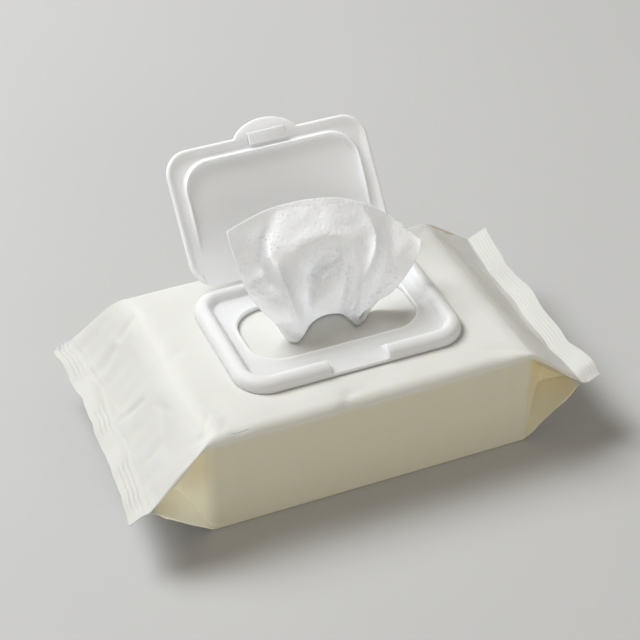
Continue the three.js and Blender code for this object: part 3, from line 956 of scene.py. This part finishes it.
def build_stage(settings):
    scene = bpy.context.scene
    bm = bmesh.new()
    bmesh.ops.create_grid(bm, x_segments=1, y_segments=1, size=3)
    mesh = bpy.data.meshes.new("floor")
    bm.to_mesh(mesh)
    bm.free()
    finish = Finish("floor_paint", tuple(settings.floor_colour), 0.85)
    cloud = finish.noise(9, 6)
    finish.tint(cloud, tuple(c * 0.97 for c in settings.floor_colour), tuple(settings.floor_colour))
    mesh.materials.append(finish.material)
    floor = bpy.data.objects.new("floor", mesh)
    scene.collection.objects.link(floor)

    world = bpy.data.worlds.new("studio")
    world.use_nodes = True
    background = world.node_tree.nodes["Background"]
    background.inputs["Color"].default_value = (*settings.fill_colour, 1)
    background.inputs["Strength"].default_value = settings.fill
    scene.world = world
    area_light("key", settings.key, 0.95, KEY_PLACE, (0, 0, 0), (0.94, 0.965, 1.0))
    area_light("front_fill", 0.40 * settings.key, 1.6, FILL_PLACE, (0, 0, 0.03), (0.98, 0.98, 1.0))

    camera_data = bpy.data.cameras.new("camera")
    camera_data.lens = CAMERA_LENS
    camera_data.sensor_width = 36
    camera = bpy.data.objects.new("camera", camera_data)
    camera.location = CAMERA_PLACE
    camera.rotation_euler = (math.radians(90 - CAMERA_DOWN), 0, math.radians(-CAMERA_ROUND))
    scene.collection.objects.link(camera)
    scene.camera = camera
    scene.view_settings.view_transform = "Standard"


# ---------- settings, operators and panel ----------


class WIPES_PG_pouch(bpy.types.PropertyGroup):
    colour: bpy.props.FloatVectorProperty(
        name="Film colour", description="Colour of the laminate film",
        subtype="COLOR", size=3, min=0, max=1, default=(0.725, 0.72, 0.68),
    )
    crimp_pitch: bpy.props.FloatProperty(
        name="Crimp pitch", description="Distance between the lines of a seal, in millimetres",
        default=1.9,
    )
    crimp_height: bpy.props.FloatProperty(
        name="Crimp height", description="Height of the lines of a seal, in millimetres",
        default=0.2,
    )
    edge_wave: bpy.props.FloatProperty(
        name="Edge wave", description="How far the free edges of the seals wave, in millimetres",
        default=0.7,
    )
    slack: bpy.props.FloatProperty(
        name="Slack", description="Strength of the film's soft dents", default=1.0, min=0, max=3,
    )


class WIPES_PG_wipes(bpy.types.PropertyGroup):
    colour: bpy.props.FloatVectorProperty(
        name="Wipe colour", description="Colour of the nonwoven",
        subtype="COLOR", size=3, min=0, max=1, default=(0.945, 0.972, 1.0),
    )
    fold_depth: bpy.props.FloatProperty(
        name="Fold depth", description="Strength of the drawn wipe's folds", default=1.0, min=0, max=2,
    )
    layers: bpy.props.IntProperty(
        name="Layers", description="Folded layers that show at the side of the stack",
        default=26, min=2, max=80,
    )


class WIPES_PG_flip_top(bpy.types.PropertyGroup):
    frame_colour: bpy.props.FloatVectorProperty(
        name="Frame colour", description="Colour of the moulded frame",
        subtype="COLOR", size=3, min=0, max=1, default=(0.74, 0.738, 0.727),
    )
    lid_colour: bpy.props.FloatVectorProperty(
        name="Lid colour", description="Colour of the translucent lid",
        subtype="COLOR", size=3, min=0, max=1, default=(0.94, 0.965, 1.0),
    )
    dish: bpy.props.FloatProperty(
        name="Lid dish", description="How far the lid's middle bulges outward, in millimetres",
        default=0.4,
    )


class WIPES_PG_stage(bpy.types.PropertyGroup):
    floor_colour: bpy.props.FloatVectorProperty(
        name="Floor colour", description="Colour of the floor",
        subtype="COLOR", size=3, min=0, max=1, default=(0.54, 0.537, 0.528),
    )
    fill_colour: bpy.props.FloatVectorProperty(
        name="Fill colour", description="Colour of the light from all round",
        subtype="COLOR", size=3, min=0, max=1, default=(1.0, 0.92, 0.78),
    )
    fill: bpy.props.FloatProperty(
        name="Fill strength", description="Strength of the light from all round", default=0.265,
    )
    key: bpy.props.FloatProperty(
        name="Key power", description="Power of the main light", subtype="POWER", default=38.0,
    )


class WIPES_OT_stage(bpy.types.Operator):
    """Set up the floor, the light and the camera"""

    bl_idname = "wipes.stage"
    bl_label = "Stage"

    def execute(self, context):
        build_stage(context.scene.wipes_stage)
        return {"FINISHED"}


class WIPES_OT_pouch(bpy.types.Operator):
    """Build the film pouch with its gussets, crimped seals and slot"""

    bl_idname = "wipes.pouch"
    bl_label = "Film Pouch"

    def execute(self, context):
        build_pouch(context.scene.wipes_pouch)
        return {"FINISHED"}


class WIPES_OT_wipes(bpy.types.Operator):
    """Build the drawn wipe and the stack of folded wipes"""

    bl_idname = "wipes.wipes"
    bl_label = "Wipes"

    def execute(self, context):
        settings = context.scene.wipes_wipes
        material = wipe_finish(tuple(settings.colour))
        build_drawn_wipe(settings, material)
        build_stack(settings, material)
        return {"FINISHED"}


class WIPES_OT_flip_top(bpy.types.Operator):
    """Build the flip-top's frame, lid and hinge web"""

    bl_idname = "wipes.flip_top"
    bl_label = "Flip-Top"

    def execute(self, context):
        settings = context.scene.wipes_flip_top
        lid_plastic = moulded_finish("lid_plastic", tuple(settings.lid_colour), 0.42, 0.0009)
        build_frame(settings)
        build_lid(settings, lid_plastic)
        build_hinge_web(settings, lid_plastic)
        return {"FINISHED"}


OPERATORS = (WIPES_OT_stage, WIPES_OT_pouch, WIPES_OT_wipes, WIPES_OT_flip_top)
GROUPS = {
    "wipes_pouch": WIPES_PG_pouch,
    "wipes_wipes": WIPES_PG_wipes,
    "wipes_flip_top": WIPES_PG_flip_top,
    "wipes_stage": WIPES_PG_stage,
}


class WIPES_PT_panel(bpy.types.Panel):
    """Lists the pack's settings and its build steps"""

    bl_idname = "WIPES_PT_panel"
    bl_label = "Wet Wipes Pack"
    bl_space_type = "VIEW_3D"
    bl_region_type = "UI"
    bl_category = "Wipes"

    def draw(self, context):
        for operator in OPERATORS:
            self.layout.operator(operator.bl_idname)
        for name in GROUPS:
            box = self.layout.box()
            settings = getattr(context.scene, name)
            for prop in settings.bl_rna.properties:
                if prop.identifier not in {"rna_type", "name"}:
                    box.prop(settings, prop.identifier)


CLASSES = (*GROUPS.values(), *OPERATORS, WIPES_PT_panel)


def register():
    for cls in CLASSES:
        bpy.utils.register_class(cls)
    for name, group in GROUPS.items():
        setattr(bpy.types.Scene, name, bpy.props.PointerProperty(type=group))


def unregister():
    for name in GROUPS:
        delattr(bpy.types.Scene, name)
    for cls in reversed(CLASSES):
        bpy.utils.unregister_class(cls)


def main():
    register()
    for operator in OPERATORS:
        getattr(bpy.ops.wipes, operator.bl_idname.split(".")[1])()


if __name__ == "__main__":
    main()
